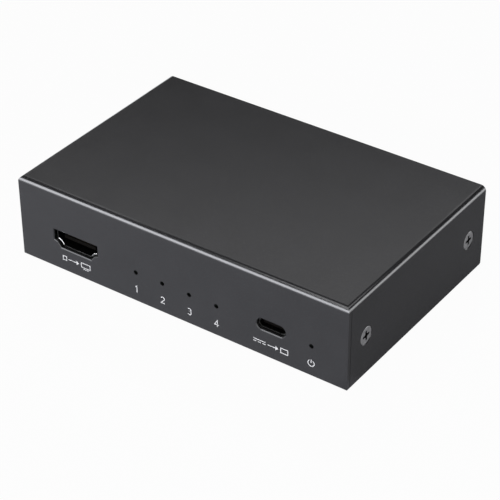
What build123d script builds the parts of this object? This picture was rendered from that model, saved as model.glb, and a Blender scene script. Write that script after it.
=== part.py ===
from build123d import *
import os

# A small metal box that sends one video signal on to four screens.
# Millimetres. X runs along the front from left to right, Y from front to back, Z up.
# The origin is on the ground, under the middle of the box. Every function below
# works with Z from the underside of the housing, and the last lines lift it onto its feet.

# Housing: a folded cover with the top, front and sides, over a base with the rear wall
WIDTH = 110.0
DEPTH = 70.0
HEIGHT = 26.0
SHEET = 1.2
BEND_INSIDE = 0.4
BEND_OUTSIDE = BEND_INSIDE + SHEET
RIM_BREAK_WIDTH = 0.3
RIM_BREAK_DEPTH = 0.19
FOLD_GAP = 0.15
SEAM = 0.15
FLANGE_CORNER = 0.6
OVERRUN = 3.0

# Ears of the base, tapped for the side screws, with a relief cut beside each bend
EAR_WIDTH = 12.0
EAR_ABOVE_SCREW = 4.5
EAR_CORNER = 2.0
RELIEF_WIDTH = 0.8
RELIEF_DEPTH = 2 * BEND_OUTSIDE

# Countersunk screws that hold the cover to the ears
COVER_SCREW_INSET = 8.45
COVER_SCREW_SHIFT = 0.25
COVER_SCREW_HEIGHT = 12.5
SCREW_RADIUS = 1.5
SCREW_CLEARANCE = 0.05
SCREW_HEAD_RADIUS = 2.65
SCREW_HEAD_CLEARANCE = 0.12
SCREW_HEAD_SINK = 0.08
SCREW_LENGTH = 6.0

# Stick-on rubber feet, square with their corners cut off
FOOT_WIDTH = 8.0
FOOT_CORNER = 1.2
FOOT_HEIGHT = 1.5
FOOT_INSET = 10.0

# Video sockets: one at the front and four in the rear wall, all of one kind
VIDEO_AXIS = 10.0
VIDEO_WIDTH = 14.1
VIDEO_HEIGHT = 4.55
VIDEO_SIDE = 2.8
VIDEO_SHOULDER_IN = 1.2
VIDEO_SHOULDER_DROP = 0.45
VIDEO_FLOOR = 9.6
VIDEO_CORNER = 0.5
VIDEO_SHELL = 0.3
VIDEO_DEPTH = 11.6
VIDEO_SIDE_CLEARANCE = 0.4
VIDEO_RISE_CLEARANCE = 0.125
OUTPUT_COUNT = 4
SOCKET_RECESS = 1.0
SOCKET_FIT = 0.05

# Blade and body inside a video socket
VIDEO_BLADE_WIDTH = 11.2
VIDEO_BLADE_THICKNESS = 1.0
VIDEO_BLADE_RECESS = 1.1
VIDEO_BODY_FRONT = 8.8
VIDEO_BODY_BACK = 10.4
VIDEO_UPPER_CONTACTS = 10
VIDEO_LOWER_CONTACTS = 9
VIDEO_CONTACT_PITCH = 1.0
VIDEO_CONTACT_WIDTH = 0.35

# Springy leaves in the roof of a video shell, and its solder legs
LEAF_WIDTH = 1.7
LEAF_LENGTH = 4.2
LEAF_SLOT = 0.4
LEAF_FRONT = 1.6
LEAF_SPREAD = 7.0
LEG_WIDTH = 1.3
LEG_BELOW_BOARD = 0.7
LEG_SLOT_CLEARANCE = 0.25
LEG_FRONT = 2.9
LEG_PITCH = 5.6

# Contacts of every socket
CONTACT_THICKNESS = 0.15
CONTACT_START = 0.4
TAIL_STANDOFF = 0.3

# Power socket, a flat round-ended one raised on a plastic plinth
POWER_RISE = 2.5
POWER_WIDTH = 8.34
POWER_HEIGHT = 2.56
POWER_SHELL = 0.3
POWER_DEPTH = 7.6
POWER_CLEARANCE = 0.15
POWER_BLADE_WIDTH = 6.7
POWER_BLADE_THICKNESS = 0.7
POWER_BLADE_RECESS = 0.7
POWER_BODY_FRONT = 5.6
POWER_BODY_BACK = 8.6
POWER_PLINTH_WIDTH = 8.0
POWER_PLINTH_FRONT = 1.4
POWER_CONTACTS = 6
POWER_CONTACT_PITCH = 0.95
POWER_CONTACT_WIDTH = 0.3
POWER_LEG_FRONT = 2.2
POWER_LEG_PITCH = 4.0

# Signal lamps in black holders behind their holes
LAMP_COUNT = 4
LAMP_RISE = 2.1
LAMP_HOLE_RADIUS = 0.7
LAMP_WIDTH = 2.4
LAMP_THICKNESS = 1.6
LAMP_FIT = 0.05
LAMP_SINK = 0.3
LAMP_HOLDER_WIDTH = 4.0
LAMP_HOLDER_DEPTH = 4.2
LAMP_HOLDER_GAP = 0.3
LAMP_LEAD = 0.45
LAMP_LEAD_SPREAD = 1.27
LAMP_LEAD_REACH = 1.2

# Where things stand along the front, as shares of the width from the middle
VIDEO_IN_SHARE = -0.3209
FIRST_LAMP_SHARE = -0.1268
LAMP_PITCH_SHARE = 0.0826
POWER_IN_SHARE = 0.2814
POWER_LAMP_SHARE = 0.3981
OUTPUT_PITCH_SHARE = 0.209

# Circuit board, its posts and its screws
BOARD_THICKNESS = 1.6
BOARD_SIDE_GAP = 0.5
BOARD_PANEL_GAP = 0.6
BOARD_CORNER = 1.0
POST_WIDTH = 5.0
POST_INSET_X = 4.5
POST_INSET_Y = 9.0
POST_GRIP_SHARE = 0.7
BOARD_HOLE_CLEARANCE = 0.1
PAN_HEAD_RADIUS = 2.75
PAN_HEAD_HEIGHT = 1.9

# Parts on the board
CHIP_WIDTH = 14.0
CHIP_HEIGHT = 1.2
CHIP_BEVEL = 0.25
PAD_THICKNESS = 0.5
SINK_WIDTH = 20.0
SINK_BASE = 1.8
SINK_HEIGHT = 8.0
SINK_FINS = 7
SINK_FIN = 1.1
CONTROLLER_WIDTH = 6.0
MEMORY_WIDTH = 4.0
MEMORY_LENGTH = 5.0
CAN_RADIUS = 2.5
CAN_HEIGHT = 5.2
CAN_BASE_WIDTH = 5.4
CAN_BASE_HEIGHT = 0.7
CAN_BASE_CHAMFER = 1.0
COIL_WIDTH = 6.0
COIL_HEIGHT = 3.0
COIL_CORNER = 1.2
REGULATOR_LENGTH = 6.5
REGULATOR_WIDTH = 3.5
REGULATOR_HEIGHT = 1.6
REGULATOR_TAB_WIDTH = 3.0
REGULATOR_TAB_REACH = 1.5
REGULATOR_TAB_HEIGHT = 0.3
CRYSTAL_LENGTH = 5.0
CRYSTAL_WIDTH = 3.2
CRYSTAL_HEIGHT = 1.1
CRYSTAL_LID_HEIGHT = 0.3
CRYSTAL_RIM = 0.3
GUARD_LENGTH = 2.5
GUARD_WIDTH = 1.2
GUARD_HEIGHT = 0.6
GUARD_SPREAD = 5.0
GUARD_GAP = 1.5

# Places on the board, as shares of its width and depth from the middle
SPLITTER_PLACE_SHARES = (0.02, 0.03)
CONTROLLER_PLACE_SHARES = (-0.27, -0.02)
MEMORY_PLACE_SHARES = (-0.27, 0.13)
CRYSTAL_PLACE_SHARES = (-0.15, 0.03)
CAN_PLACE_SHARES = (0.32, -0.11)
COIL_PLACE_SHARES = ((0.21, -0.12), (0.36, 0.04))
REGULATOR_PLACE_SHARES = ((0.2, 0.0), (0.28, 0.02))

# Places worked out from the sizes above
FRONT = -DEPTH / 2
REAR = DEPTH / 2
BASE_HALF = WIDTH / 2 - SHEET - FOLD_GAP
EAR_INSIDE = BASE_HALF - SHEET
SOCKET_MOUTH = FRONT + SOCKET_RECESS
BOARD_TOP = VIDEO_AXIS - VIDEO_HEIGHT / 2 - VIDEO_SHELL
BOARD_BOTTOM = BOARD_TOP - BOARD_THICKNESS
BOARD_HALF_WIDTH = EAR_INSIDE - BOARD_SIDE_GAP
BOARD_HALF_DEPTH = DEPTH / 2 - SHEET - BOARD_PANEL_GAP
POWER_AXIS = BOARD_TOP + POWER_RISE
LAMP_AXIS = BOARD_TOP + LAMP_RISE
OUTPUT_PLACES = [
    (number - (OUTPUT_COUNT - 1) / 2) * OUTPUT_PITCH_SHARE * WIDTH
    for number in range(OUTPUT_COUNT)
]
LAMP_PLACES = [
    (FIRST_LAMP_SHARE + number * LAMP_PITCH_SHARE) * WIDTH
    for number in range(LAMP_COUNT)
]
POST_PLACES = [
    (side * (BOARD_HALF_WIDTH - POST_INSET_X), end * (BOARD_HALF_DEPTH - POST_INSET_Y))
    for side in (-1, 1)
    for end in (-1, 1)
]
COVER_SCREW_PLACES = (
    FRONT + COVER_SCREW_INSET + COVER_SCREW_SHIFT,
    REAR - COVER_SCREW_INSET + COVER_SCREW_SHIFT,
)


def along_x(outline, start, end):
    """A solid with this Y-Z outline, from one X to another."""
    return extrude(Plane.YZ.offset(start) * outline, end - start, dir=(1, 0, 0))


def along_y(outline, start, end):
    """A solid with this X-Z outline, from one Y to another."""
    return extrude(Plane.XZ.offset(-start) * outline, end - start, dir=(0, 1, 0))


def along_z(outline, start, end):
    """A solid with this X-Y outline, from one height to another."""
    return extrude(Pos(0, 0, start) * outline, end - start, dir=(0, 0, 1))


def span(x_low, x_high, y_low, y_high):
    """A rectangle between two corners."""
    middle = Pos((x_low + x_high) / 2, (y_low + y_high) / 2)
    return middle * Rectangle(x_high - x_low, y_high - y_low)


def corners_at(outline, *places):
    """The corners of an outline that lie nearest the places."""
    return [min(outline.vertices(), key=lambda corner: (corner.center() - Vector(*place)).length)
            for place in places]


def on_board(shape, place_shares):
    """A shape with its foot at Z zero, set down on the board at shares of the board's size."""
    across, back = place_shares
    return Pos(2 * across * BOARD_HALF_WIDTH, 2 * back * BOARD_HALF_DEPTH, BOARD_TOP) * shape


# Outlines of the sockets and of the cuts round them

def video_outline(width, height, side, floor):
    """Wide at the top, with a shoulder each side and slanting cheeks down to a narrow floor."""
    shoulder = height / 2 - side
    right = [
        (width / 2, height / 2),
        (width / 2, shoulder),
        (width / 2 - VIDEO_SHOULDER_IN, shoulder - VIDEO_SHOULDER_DROP),
        (floor / 2, -height / 2),
    ]
    left = [(-x, z) for x, z in reversed(right)]
    return Polygon(*right, *left, align=None)


def video_cavity():
    outline = video_outline(VIDEO_WIDTH, VIDEO_HEIGHT, VIDEO_SIDE, VIDEO_FLOOR)
    return fillet(outline.vertices().group_by(Axis.Y)[-1], VIDEO_CORNER)


def video_body():
    """The outline of the plastic body that fits in the cavity."""
    outline = video_outline(VIDEO_WIDTH, VIDEO_HEIGHT, VIDEO_SIDE, VIDEO_FLOOR)
    outline = chamfer(outline.vertices().group_by(Axis.Y)[-1], VIDEO_CORNER)
    return offset(outline, -SOCKET_FIT, kind=Kind.INTERSECTION)


def video_cut():
    """The hole in the sheet round the mouth of a video socket."""
    return video_outline(
        VIDEO_WIDTH + 2 * (VIDEO_SHELL + VIDEO_SIDE_CLEARANCE),
        VIDEO_HEIGHT + 2 * (VIDEO_SHELL + VIDEO_RISE_CLEARANCE),
        VIDEO_SIDE + 2 * VIDEO_SHELL,
        VIDEO_FLOOR + 2 * (VIDEO_SHELL + VIDEO_RISE_CLEARANCE) + VIDEO_SHELL,
    )


def power_outline(grown=0.0):
    """The round-ended outline of the power socket's cavity, grown all round."""
    return SlotOverall(POWER_WIDTH + 2 * grown, POWER_HEIGHT + 2 * grown)


# Cover

def countersink(y):
    """The cut for one countersunk screw in the right side."""
    mouth = Pos(WIDTH / 2, y, COVER_SCREW_HEIGHT) * Rot(0, 90, 0)
    cone = Cone(
        SCREW_RADIUS + SCREW_HEAD_CLEARANCE,
        SCREW_HEAD_RADIUS + SCREW_HEAD_CLEARANCE,
        SHEET,
        align=(Align.CENTER, Align.CENTER, Align.MAX),
    )
    return mouth * cone


def make_cover():
    """Top, front and both sides, folded from one sheet and open at the rear and below."""
    body = Box(WIDTH, DEPTH, HEIGHT, align=(Align.CENTER, Align.CENTER, Align.MIN))
    bends = body.edges().group_by(Axis.Z)[-1].sort_by(Axis.Y)[:-1]
    body = fillet(bends, BEND_OUTSIDE)

    hollow = Pos(0, SHEET, -OVERRUN) * Box(
        WIDTH - 2 * SHEET,
        DEPTH,
        HEIGHT - SHEET + OVERRUN,
        align=(Align.CENTER, Align.CENTER, Align.MIN),
    )
    inner_bends = hollow.edges().group_by(Axis.Z)[-1].sort_by(Axis.Y)[:-1]
    body -= fillet(inner_bends, BEND_INSIDE)

    # The sides stop just behind the front, which runs over the full width
    seam = span(FRONT + SHEET, FRONT + SHEET + SEAM, -OVERRUN, HEIGHT - BEND_OUTSIDE)
    body -= along_x(seam, WIDTH / 2 - SHEET, WIDTH / 2 + OVERRUN)
    body -= along_x(seam, -WIDTH / 2 - OVERRUN, -WIDTH / 2 + SHEET)

    rear_corners = body.edges().filter_by(Axis.X).group_by(Axis.Z)[0].group_by(Axis.Y)[-1]
    body = fillet(rear_corners, FLANGE_CORNER)

    cuts = Pos(VIDEO_IN_SHARE * WIDTH, VIDEO_AXIS) * video_cut()
    cuts += Pos(POWER_IN_SHARE * WIDTH, POWER_AXIS) * power_outline(POWER_SHELL + POWER_CLEARANCE)
    for x in (*LAMP_PLACES, POWER_LAMP_SHARE * WIDTH):
        cuts += Pos(x, LAMP_AXIS) * Circle(LAMP_HOLE_RADIUS)
    body -= along_y(cuts, FRONT - OVERRUN, FRONT + OVERRUN)

    # The rims of the two socket holes are slightly broken
    front = body.faces().sort_by(Axis.Y)[0]
    rims = [wire.edges() for wire in front.inner_wires() if len(wire.edges()) > 1]
    rims = ShapeList(edge for rim in rims for edge in rim)
    body = chamfer(rims, RIM_BREAK_WIDTH, RIM_BREAK_DEPTH, reference=front)

    for y in COVER_SCREW_PLACES:
        body -= countersink(y)
        body -= mirror(countersink(y), about=Plane.YZ)
    return body


# Base

def make_ear(y):
    """A tab bent up from the right edge of the base, with the hole for a cover screw."""
    top = COVER_SCREW_HEIGHT + EAR_ABOVE_SCREW
    root = BASE_HALF - RELIEF_DEPTH
    outline = Polygon(
        (root, 0),
        (BASE_HALF, 0),
        (BASE_HALF, top),
        (EAR_INSIDE, top),
        (EAR_INSIDE, SHEET),
        (root, SHEET),
        align=None,
    )
    outline = fillet(corners_at(outline, (BASE_HALF, 0)), BEND_OUTSIDE)
    outline = fillet(corners_at(outline, (EAR_INSIDE, SHEET)), BEND_INSIDE)
    ear = along_y(outline, y - EAR_WIDTH / 2, y + EAR_WIDTH / 2)
    ear = chamfer(ear.edges().filter_by(Axis.X).group_by(Axis.Z)[-1], EAR_CORNER)
    hole = Pos(y, COVER_SCREW_HEIGHT) * Circle(SCREW_RADIUS + SCREW_CLEARANCE)
    return ear - along_x(hole, EAR_INSIDE - OVERRUN, BASE_HALF + OVERRUN)


def make_base():
    """The bottom with the rear wall and four ears, bent up from one sheet."""
    front = FRONT + SHEET + FOLD_GAP
    wall_top = HEIGHT - SHEET - FOLD_GAP
    outline = Polygon(
        (front, 0),
        (REAR, 0),
        (REAR, wall_top),
        (REAR - SHEET, wall_top),
        (REAR - SHEET, SHEET),
        (front, SHEET),
        align=None,
    )
    outline = fillet(corners_at(outline, (REAR, 0)), BEND_OUTSIDE)
    outline = fillet(corners_at(outline, (REAR - SHEET, SHEET)), BEND_INSIDE)
    base = along_x(outline, -BASE_HALF, BASE_HALF)

    for y in COVER_SCREW_PLACES:
        notch = span(
            BASE_HALF - RELIEF_DEPTH,
            BASE_HALF + OVERRUN,
            y - EAR_WIDTH / 2 - RELIEF_WIDTH,
            y + EAR_WIDTH / 2 + RELIEF_WIDTH,
        )
        relief = along_z(notch, -OVERRUN, SHEET)
        ear = make_ear(y)
        base -= relief
        base -= mirror(relief, about=Plane.YZ)
        base += ear
        base += mirror(ear, about=Plane.YZ)

    for x in OUTPUT_PLACES:
        base -= along_y(Pos(x, VIDEO_AXIS) * video_cut(), REAR - OVERRUN, REAR + OVERRUN)
    return base


# Fasteners and feet

def make_cover_screw(y):
    """A countersunk screw in the right side, sunk a little below the sheet."""
    head_top = WIDTH / 2 - SCREW_HEAD_SINK
    head_height = SHEET - SCREW_HEAD_SINK
    head = Cone(
        SCREW_RADIUS,
        SCREW_HEAD_RADIUS,
        head_height,
        align=(Align.CENTER, Align.CENTER, Align.MAX),
    )
    shank = Cylinder(
        SCREW_RADIUS, SCREW_LENGTH, align=(Align.CENTER, Align.CENTER, Align.MAX)
    )
    return Pos(head_top, y, COVER_SCREW_HEIGHT) * Rot(0, 90, 0) * (head + shank)


def on_both_sides(make):
    """One piece at every cover screw, two on the right side and two on the left."""
    right = [make(y) for y in COVER_SCREW_PLACES]
    return right + [mirror(piece, about=Plane.YZ) for piece in right]


def make_post(x, y):
    """A six-sided threaded post that stands on the base and carries the board."""
    height = BOARD_BOTTOM - SHEET
    post = along_z(RegularPolygon(POST_WIDTH / 2, 6, major_radius=False), SHEET, BOARD_BOTTOM)
    bore = Circle(SCREW_RADIUS + SCREW_CLEARANCE)
    reach = BOARD_BOTTOM - POST_GRIP_SHARE * height - BOARD_HOLE_CLEARANCE
    return Pos(x, y) * (post - along_z(bore, reach, BOARD_BOTTOM + OVERRUN))


def make_board_screw(x, y):
    """A round-topped screw through the board into its post."""
    reach = BOARD_BOTTOM - POST_GRIP_SHARE * (BOARD_BOTTOM - SHEET)
    head = along_z(Circle(PAN_HEAD_RADIUS), BOARD_TOP, BOARD_TOP + PAN_HEAD_HEIGHT)
    return Pos(x, y) * (head + along_z(Circle(SCREW_RADIUS), reach, BOARD_TOP))


def make_foot(x, y):
    outline = chamfer(Rectangle(FOOT_WIDTH, FOOT_WIDTH).vertices(), FOOT_CORNER)
    return along_z(Pos(x, y) * outline, -FOOT_HEIGHT, 0)


# Circuit board

def leg_places():
    """X and Y of every solder leg of the sockets, as they stand on the board."""
    video_side = VIDEO_WIDTH / 2 + VIDEO_SHELL / 2
    power_side = POWER_WIDTH / 2 + POWER_SHELL / 2
    rows = [(VIDEO_IN_SHARE * WIDTH, video_side, LEG_FRONT, LEG_PITCH, 1)]
    rows += [(x, video_side, LEG_FRONT, LEG_PITCH, -1) for x in OUTPUT_PLACES]
    rows += [(POWER_IN_SHARE * WIDTH, power_side, POWER_LEG_FRONT, POWER_LEG_PITCH, 1)]
    return [
        (x + side * half, end * (SOCKET_MOUTH + first + number * pitch))
        for x, half, first, pitch, end in rows
        for side in (-1, 1)
        for number in range(2)
    ]


def make_board():
    outline = chamfer(
        Rectangle(2 * BOARD_HALF_WIDTH, 2 * BOARD_HALF_DEPTH).vertices(), BOARD_CORNER
    )
    for x, y in POST_PLACES:
        outline -= Pos(x, y) * Circle(SCREW_RADIUS + BOARD_HOLE_CLEARANCE)
    for x, y in leg_places():
        outline -= Pos(x, y) * Rectangle(
            VIDEO_SHELL + 2 * LEG_SLOT_CLEARANCE, LEG_WIDTH + 2 * LEG_SLOT_CLEARANCE
        )
    return along_z(outline, BOARD_BOTTOM, BOARD_TOP)


# Sockets, each drawn with its mouth at Y zero and its axis at X and Z zero

def make_contact(x, width, z_low, start, body_back, board):
    """A strip along the blade, out through the back of the body and down to the board."""
    z_high = z_low + CONTACT_THICKNESS
    tail = body_back + TAIL_STANDOFF
    outline = Polygon(
        (start, z_low),
        (tail, z_low),
        (tail, board),
        (tail + CONTACT_THICKNESS, board),
        (tail + CONTACT_THICKNESS, z_high),
        (start, z_high),
        align=None,
    )
    return along_x(outline, x - width / 2, x + width / 2)


def contact_row(count, pitch, width, z_low, start, body_back, board):
    return [
        make_contact((number - (count - 1) / 2) * pitch, width, z_low, start, body_back, board)
        for number in range(count)
    ]


def contact_slits(count, pitch, width, blade):
    """The outlines of the two slits in a body that its rows of contacts pass through."""
    half = ((count - 1) * pitch + width) / 2
    upper = span(-half, half, blade / 2, blade / 2 + CONTACT_THICKNESS)
    return upper + mirror(upper, about=Plane.XZ)


def leaf_slot(x):
    """The narrow cut round three sides of a springy leaf, seen from above."""
    around = span(
        x - LEAF_WIDTH / 2 - LEAF_SLOT,
        x + LEAF_WIDTH / 2 + LEAF_SLOT,
        LEAF_FRONT,
        LEAF_FRONT + LEAF_LENGTH,
    )
    leaf = span(
        x - LEAF_WIDTH / 2,
        x + LEAF_WIDTH / 2,
        LEAF_FRONT + LEAF_SLOT,
        LEAF_FRONT + LEAF_LENGTH,
    )
    return around - leaf


def shell_legs(side, z_top, board, first, pitch, thickness):
    """Solder legs on both sides of a shell, down through the board."""
    low = board - BOARD_THICKNESS - LEG_BELOW_BOARD
    legs = []
    for number in range(2):
        middle = first + number * pitch
        leg = span(middle - LEG_WIDTH / 2, middle + LEG_WIDTH / 2, low, z_top)
        legs.append(along_x(leg, side, side + thickness))
        legs.append(along_x(leg, -side - thickness, -side))
    return legs


def make_video_shell():
    """The folded metal shell of a video socket."""
    board = BOARD_TOP - VIDEO_AXIS
    cavity = video_cavity()
    shell = along_y(offset(cavity, VIDEO_SHELL, kind=Kind.INTERSECTION) - cavity, 0, VIDEO_DEPTH)
    under_tails = span(-VIDEO_FLOOR, VIDEO_FLOOR, -VIDEO_HEIGHT, VIDEO_HEIGHT / 2 - VIDEO_SIDE)
    shell -= along_y(under_tails, VIDEO_BODY_BACK, VIDEO_DEPTH + OVERRUN)
    for x in (-LEAF_SPREAD / 2, LEAF_SPREAD / 2):
        shell -= along_z(leaf_slot(x), VIDEO_HEIGHT / 2 - VIDEO_SHELL, VIDEO_HEIGHT)
    for leg in shell_legs(VIDEO_WIDTH / 2, 0, board, LEG_FRONT, LEG_PITCH, VIDEO_SHELL):
        shell += leg
    return shell


def make_video_contacts():
    board = BOARD_TOP - VIDEO_AXIS
    start = VIDEO_BLADE_RECESS + CONTACT_START
    half = VIDEO_BLADE_THICKNESS / 2
    upper = contact_row(
        VIDEO_UPPER_CONTACTS, VIDEO_CONTACT_PITCH, VIDEO_CONTACT_WIDTH,
        half, start, VIDEO_BODY_BACK, board,
    )
    lower = contact_row(
        VIDEO_LOWER_CONTACTS, VIDEO_CONTACT_PITCH, VIDEO_CONTACT_WIDTH,
        -half - CONTACT_THICKNESS, start, VIDEO_BODY_BACK, board,
    )
    return upper + lower


def make_video_blade():
    """The plastic blade and the body behind it, with slits for the contacts."""
    blade = Rectangle(VIDEO_BLADE_WIDTH, VIDEO_BLADE_THICKNESS)
    body = video_body() - contact_slits(
        VIDEO_UPPER_CONTACTS, VIDEO_CONTACT_PITCH, VIDEO_CONTACT_WIDTH, VIDEO_BLADE_THICKNESS
    )
    moulding = along_y(blade, VIDEO_BLADE_RECESS, VIDEO_BODY_FRONT)
    return moulding + along_y(body, VIDEO_BODY_FRONT, VIDEO_BODY_BACK)


def make_power_shell():
    """The drawn metal shell of the power socket."""
    board = BOARD_TOP - POWER_AXIS
    wall = power_outline(POWER_SHELL) - power_outline()
    shell = along_y(wall, 0, POWER_DEPTH)
    side = POWER_WIDTH / 2
    for leg in shell_legs(side, 0, board, POWER_LEG_FRONT, POWER_LEG_PITCH, POWER_SHELL):
        shell += leg
    return shell


def make_power_contacts():
    board = BOARD_TOP - POWER_AXIS
    start = POWER_BLADE_RECESS + CONTACT_START
    half = POWER_BLADE_THICKNESS / 2
    lower = contact_row(
        POWER_CONTACTS, POWER_CONTACT_PITCH, POWER_CONTACT_WIDTH,
        -half - CONTACT_THICKNESS, start, POWER_BODY_BACK, board,
    )
    upper = contact_row(
        POWER_CONTACTS - 1, POWER_CONTACT_PITCH, POWER_CONTACT_WIDTH,
        half, start, POWER_BODY_BACK, board,
    )
    return lower + upper


def make_power_blade():
    """The plastic blade and body of the power socket, and the plinth that raises it."""
    board = BOARD_TOP - POWER_AXIS
    under = -POWER_HEIGHT / 2 - POWER_SHELL
    blade = Rectangle(POWER_BLADE_WIDTH, POWER_BLADE_THICKNESS)
    slits = contact_slits(
        POWER_CONTACTS, POWER_CONTACT_PITCH, POWER_CONTACT_WIDTH, POWER_BLADE_THICKNESS
    )
    moulding = along_y(blade, POWER_BLADE_RECESS, POWER_BODY_FRONT)
    moulding += along_y(power_outline(-SOCKET_FIT), POWER_BODY_FRONT, POWER_BODY_BACK)
    half = POWER_PLINTH_WIDTH / 2
    moulding += along_y(span(-half, half, board, under), POWER_PLINTH_FRONT, POWER_BODY_BACK)
    moulding += along_y(span(-half, half, under, 0), POWER_DEPTH, POWER_BODY_BACK)
    return moulding - along_y(slits, POWER_BODY_FRONT, POWER_BODY_BACK)


# Lamps, drawn with the face of the holder at Y zero and the lamp's axis at X and Z zero

def make_lamp_holder():
    window = Rectangle(LAMP_WIDTH + 2 * LAMP_FIT, LAMP_THICKNESS + 2 * LAMP_FIT)
    return along_y(Rectangle(LAMP_HOLDER_WIDTH, 2 * LAMP_RISE) - window, 0, LAMP_HOLDER_DEPTH)


def make_lamp():
    """A flat-nosed oblong lamp, set a little behind the face of its holder."""
    lamp = along_y(Rectangle(LAMP_WIDTH, LAMP_THICKNESS), LAMP_SINK, LAMP_HOLDER_DEPTH)
    return chamfer(lamp.edges().group_by(Axis.Y)[0], LAMP_SINK / 2)


def make_lamp_leads():
    """Two wires from the back of the lamp down to the board."""
    back = LAMP_HOLDER_DEPTH
    outline = Polygon(
        (back, LAMP_LEAD / 2),
        (back + LAMP_LEAD_REACH, LAMP_LEAD / 2),
        (back + LAMP_LEAD_REACH, -LAMP_RISE),
        (back + LAMP_LEAD_REACH - LAMP_LEAD, -LAMP_RISE),
        (back + LAMP_LEAD_REACH - LAMP_LEAD, -LAMP_LEAD / 2),
        (back, -LAMP_LEAD / 2),
        align=None,
    )
    return [
        along_x(outline, side * LAMP_LEAD_SPREAD / 2 - LAMP_LEAD / 2,
                side * LAMP_LEAD_SPREAD / 2 + LAMP_LEAD / 2)
        for side in (-1, 1)
    ]


# Parts on the board, each drawn with its foot at Z zero

def chip_body(length_x, length_y, height):
    """A moulded body with bevelled top edges."""
    body = along_z(Rectangle(length_x, length_y), 0, height)
    return chamfer(body.edges().group_by(Axis.Z)[-1], CHIP_BEVEL)


def make_heat_sink():
    """A base with upright fins that run from front to back."""
    half = SINK_WIDTH / 2
    outline = span(-half, half, 0, SINK_BASE)
    step = (SINK_WIDTH - SINK_FIN) / (SINK_FINS - 1)
    for number in range(SINK_FINS):
        left = -half + number * step
        outline += span(left, left + SINK_FIN, 0, SINK_HEIGHT)
    return Pos(0, 0, CHIP_HEIGHT + PAD_THICKNESS) * along_y(outline, -half, half)


def make_capacitor_can():
    return along_z(Circle(CAN_RADIUS), CAN_BASE_HEIGHT, CAN_BASE_HEIGHT + CAN_HEIGHT)


def make_capacitor_base():
    outline = Rectangle(CAN_BASE_WIDTH, CAN_BASE_WIDTH)
    right = outline.vertices().group_by(Axis.X)[-1]
    return along_z(chamfer(right, CAN_BASE_CHAMFER), 0, CAN_BASE_HEIGHT)


def make_power_coil():
    """A square shielded coil with its corners cut off."""
    outline = chamfer(Rectangle(COIL_WIDTH, COIL_WIDTH).vertices(), COIL_CORNER)
    return along_z(outline, 0, COIL_HEIGHT)


def make_regulator():
    """A small power chip with one broad tab."""
    body = chip_body(REGULATOR_WIDTH, REGULATOR_LENGTH, REGULATOR_HEIGHT)
    half = REGULATOR_TAB_WIDTH / 2
    back = -REGULATOR_WIDTH / 2
    return body + along_z(span(back - REGULATOR_TAB_REACH, back, -half, half), 0, REGULATOR_TAB_HEIGHT)


def make_crystal():
    """A flat ceramic case with a metal lid set in from its edge."""
    case = along_z(Rectangle(CRYSTAL_WIDTH, CRYSTAL_LENGTH), 0, CRYSTAL_HEIGHT)
    lid = Rectangle(CRYSTAL_WIDTH - 2 * CRYSTAL_RIM, CRYSTAL_LENGTH - 2 * CRYSTAL_RIM)
    return case + along_z(lid, CRYSTAL_HEIGHT, CRYSTAL_HEIGHT + CRYSTAL_LID_HEIGHT)


def make_surge_guards():
    """Two small protection chips behind every video socket."""
    tails = VIDEO_BODY_BACK + TAIL_STANDOFF + CONTACT_THICKNESS
    y = SOCKET_MOUTH + tails + GUARD_GAP + GUARD_WIDTH / 2
    ports = [(VIDEO_IN_SHARE * WIDTH, 1)] + [(x, -1) for x in OUTPUT_PLACES]
    guard = along_z(Rectangle(GUARD_LENGTH, GUARD_WIDTH), BOARD_TOP, BOARD_TOP + GUARD_HEIGHT)
    return [
        Pos(x + side * GUARD_SPREAD / 2, end * y) * guard
        for x, end in ports
        for side in (-1, 1)
    ]


# The whole box, as a table of node names and solids

def place_at_front(shape, x, z):
    """Move a socket from its own origin to the front of the housing."""
    return Pos(x, SOCKET_MOUTH, z) * shape


def group(shapes):
    """Separate solids that share one node."""
    return Compound([solid for shape in shapes for solid in shape.solids()])


def housing_nodes():
    foot_x = WIDTH / 2 - FOOT_INSET
    foot_y = DEPTH / 2 - FOOT_INSET
    return {
        "cover": make_cover(),
        "base": make_base(),
        "cover_screws": group(on_both_sides(make_cover_screw)),
        "feet": group(make_foot(side * foot_x, end * foot_y) for side in (-1, 1) for end in (-1, 1)),
        "board_posts": group(make_post(x, y) for x, y in POST_PLACES),
        "board_screws": group(make_board_screw(x, y) for x, y in POST_PLACES),
    }


def socket_nodes():
    """The front video and power sockets, and the row of video outputs in the rear wall."""
    pieces = {
        "shell": make_video_shell(),
        "blade": make_video_blade(),
        "contacts": group(make_video_contacts()),
    }
    nodes = {}
    for piece, shape in pieces.items():
        nodes["video_in_" + piece] = place_at_front(shape, VIDEO_IN_SHARE * WIDTH, VIDEO_AXIS)
        for number, x in enumerate(OUTPUT_PLACES, start=1):
            output = mirror(place_at_front(shape, x, VIDEO_AXIS), about=Plane.XZ)
            nodes[f"video_out_{number}_{piece}"] = output

    power = {
        "power_in_shell": make_power_shell(),
        "power_in_blade": make_power_blade(),
        "power_in_contacts": group(make_power_contacts()),
    }
    for name, shape in power.items():
        nodes[name] = place_at_front(shape, POWER_IN_SHARE * WIDTH, POWER_AXIS)
    return nodes


def lamp_nodes():
    face = FRONT + SHEET + LAMP_HOLDER_GAP
    places = {f"lamp_{number}": x for number, x in enumerate(LAMP_PLACES, start=1)}
    places["power_lamp"] = POWER_LAMP_SHARE * WIDTH
    nodes = {}
    leads = []
    for name, x in places.items():
        place = Pos(x, face, LAMP_AXIS)
        nodes[name] = place * make_lamp()
        nodes[name + "_holder"] = place * make_lamp_holder()
        leads += [place * lead for lead in make_lamp_leads()]
    nodes["lamp_leads"] = group(leads)
    return nodes


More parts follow.
